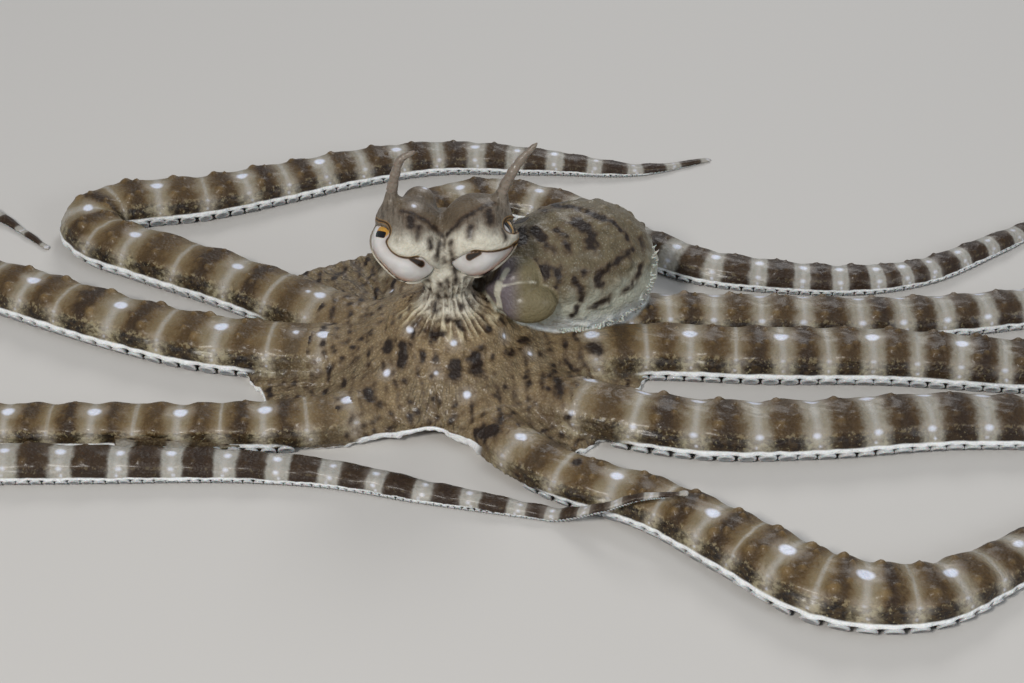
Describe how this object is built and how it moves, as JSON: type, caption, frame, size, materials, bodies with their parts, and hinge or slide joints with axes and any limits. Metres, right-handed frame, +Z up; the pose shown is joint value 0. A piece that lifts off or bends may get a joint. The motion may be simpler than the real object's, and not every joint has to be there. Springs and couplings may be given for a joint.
{
  "type": "mimic octopus",
  "caption": "Life-size still model of a mimic octopus resting on the floor, long banded arms spread, eyes raised on turrets with horns, mantle laid back.",
  "frame": {"origin": "centre of the flat underside of the arm crown, on the floor", "axes": "+Z up, -Y the way the animal faces, +X the animal's left, along which most arms are laid"},
  "size_m": [0.4446, 0.1926, 0.0582],
  "materials": {
    "banded_skin": "wet, semi-gloss, banded brown and pale",
    "web_skin": "wet, finely granular, mottled tan",
    "head_skin": "wet, smooth, cream and mauve-grey",
    "mantle_skin": "wet, blotched brown over grey",
    "funnel_skin": "wet, smooth, slightly clear",
    "eyeball": "glossy, pearly white with a dark slit pupil"
  },
  "bodies": {
    "root": {"arm_left_1_near": "banded_skin", "arm_left_1_middle": "banded_skin", "arm_left_1_outer": "banded_skin", "arm_left_1_tip": "banded_skin", "arm_left_2_near": "banded_skin", "arm_left_2_middle": "banded_skin", "arm_left_2_outer": "banded_skin", "arm_left_2_tip": "banded_skin", "arm_left_3_near": "banded_skin", "arm_left_3_middle": "banded_skin", "arm_left_3_outer": "banded_skin", "arm_left_3_tip": "banded_skin", "arm_left_4_near": "banded_skin", "arm_left_4_middle": "banded_skin", "arm_left_4_outer": "banded_skin", "arm_left_4_tip": "banded_skin", "arm_right_1_near": "banded_skin", "arm_right_1_middle": "banded_skin", "arm_right_1_outer": "banded_skin", "arm_right_1_tip": "banded_skin", "arm_right_2_near": "banded_skin", "arm_right_2_middle": "banded_skin", "arm_right_2_outer": "banded_skin", "arm_right_2_tip": "banded_skin", "arm_right_3_near": "banded_skin", "arm_right_3_middle": "banded_skin", "arm_right_3_outer": "banded_skin", "arm_right_3_tip": "banded_skin", "arm_right_4_near": "banded_skin", "arm_right_4_middle": "banded_skin", "arm_right_4_outer": "banded_skin", "arm_right_4_tip": "banded_skin", "crown_web": "web_skin", "head": "head_skin", "eye_turret_left": "head_skin", "eye_turret_right": "head_skin", "horn_left": "head_skin", "horn_right": "head_skin", "eye_left": "eyeball", "eye_right": "eyeball", "mantle": "mantle_skin", "funnel": "funnel_skin"}
  },
  "joints": []
}
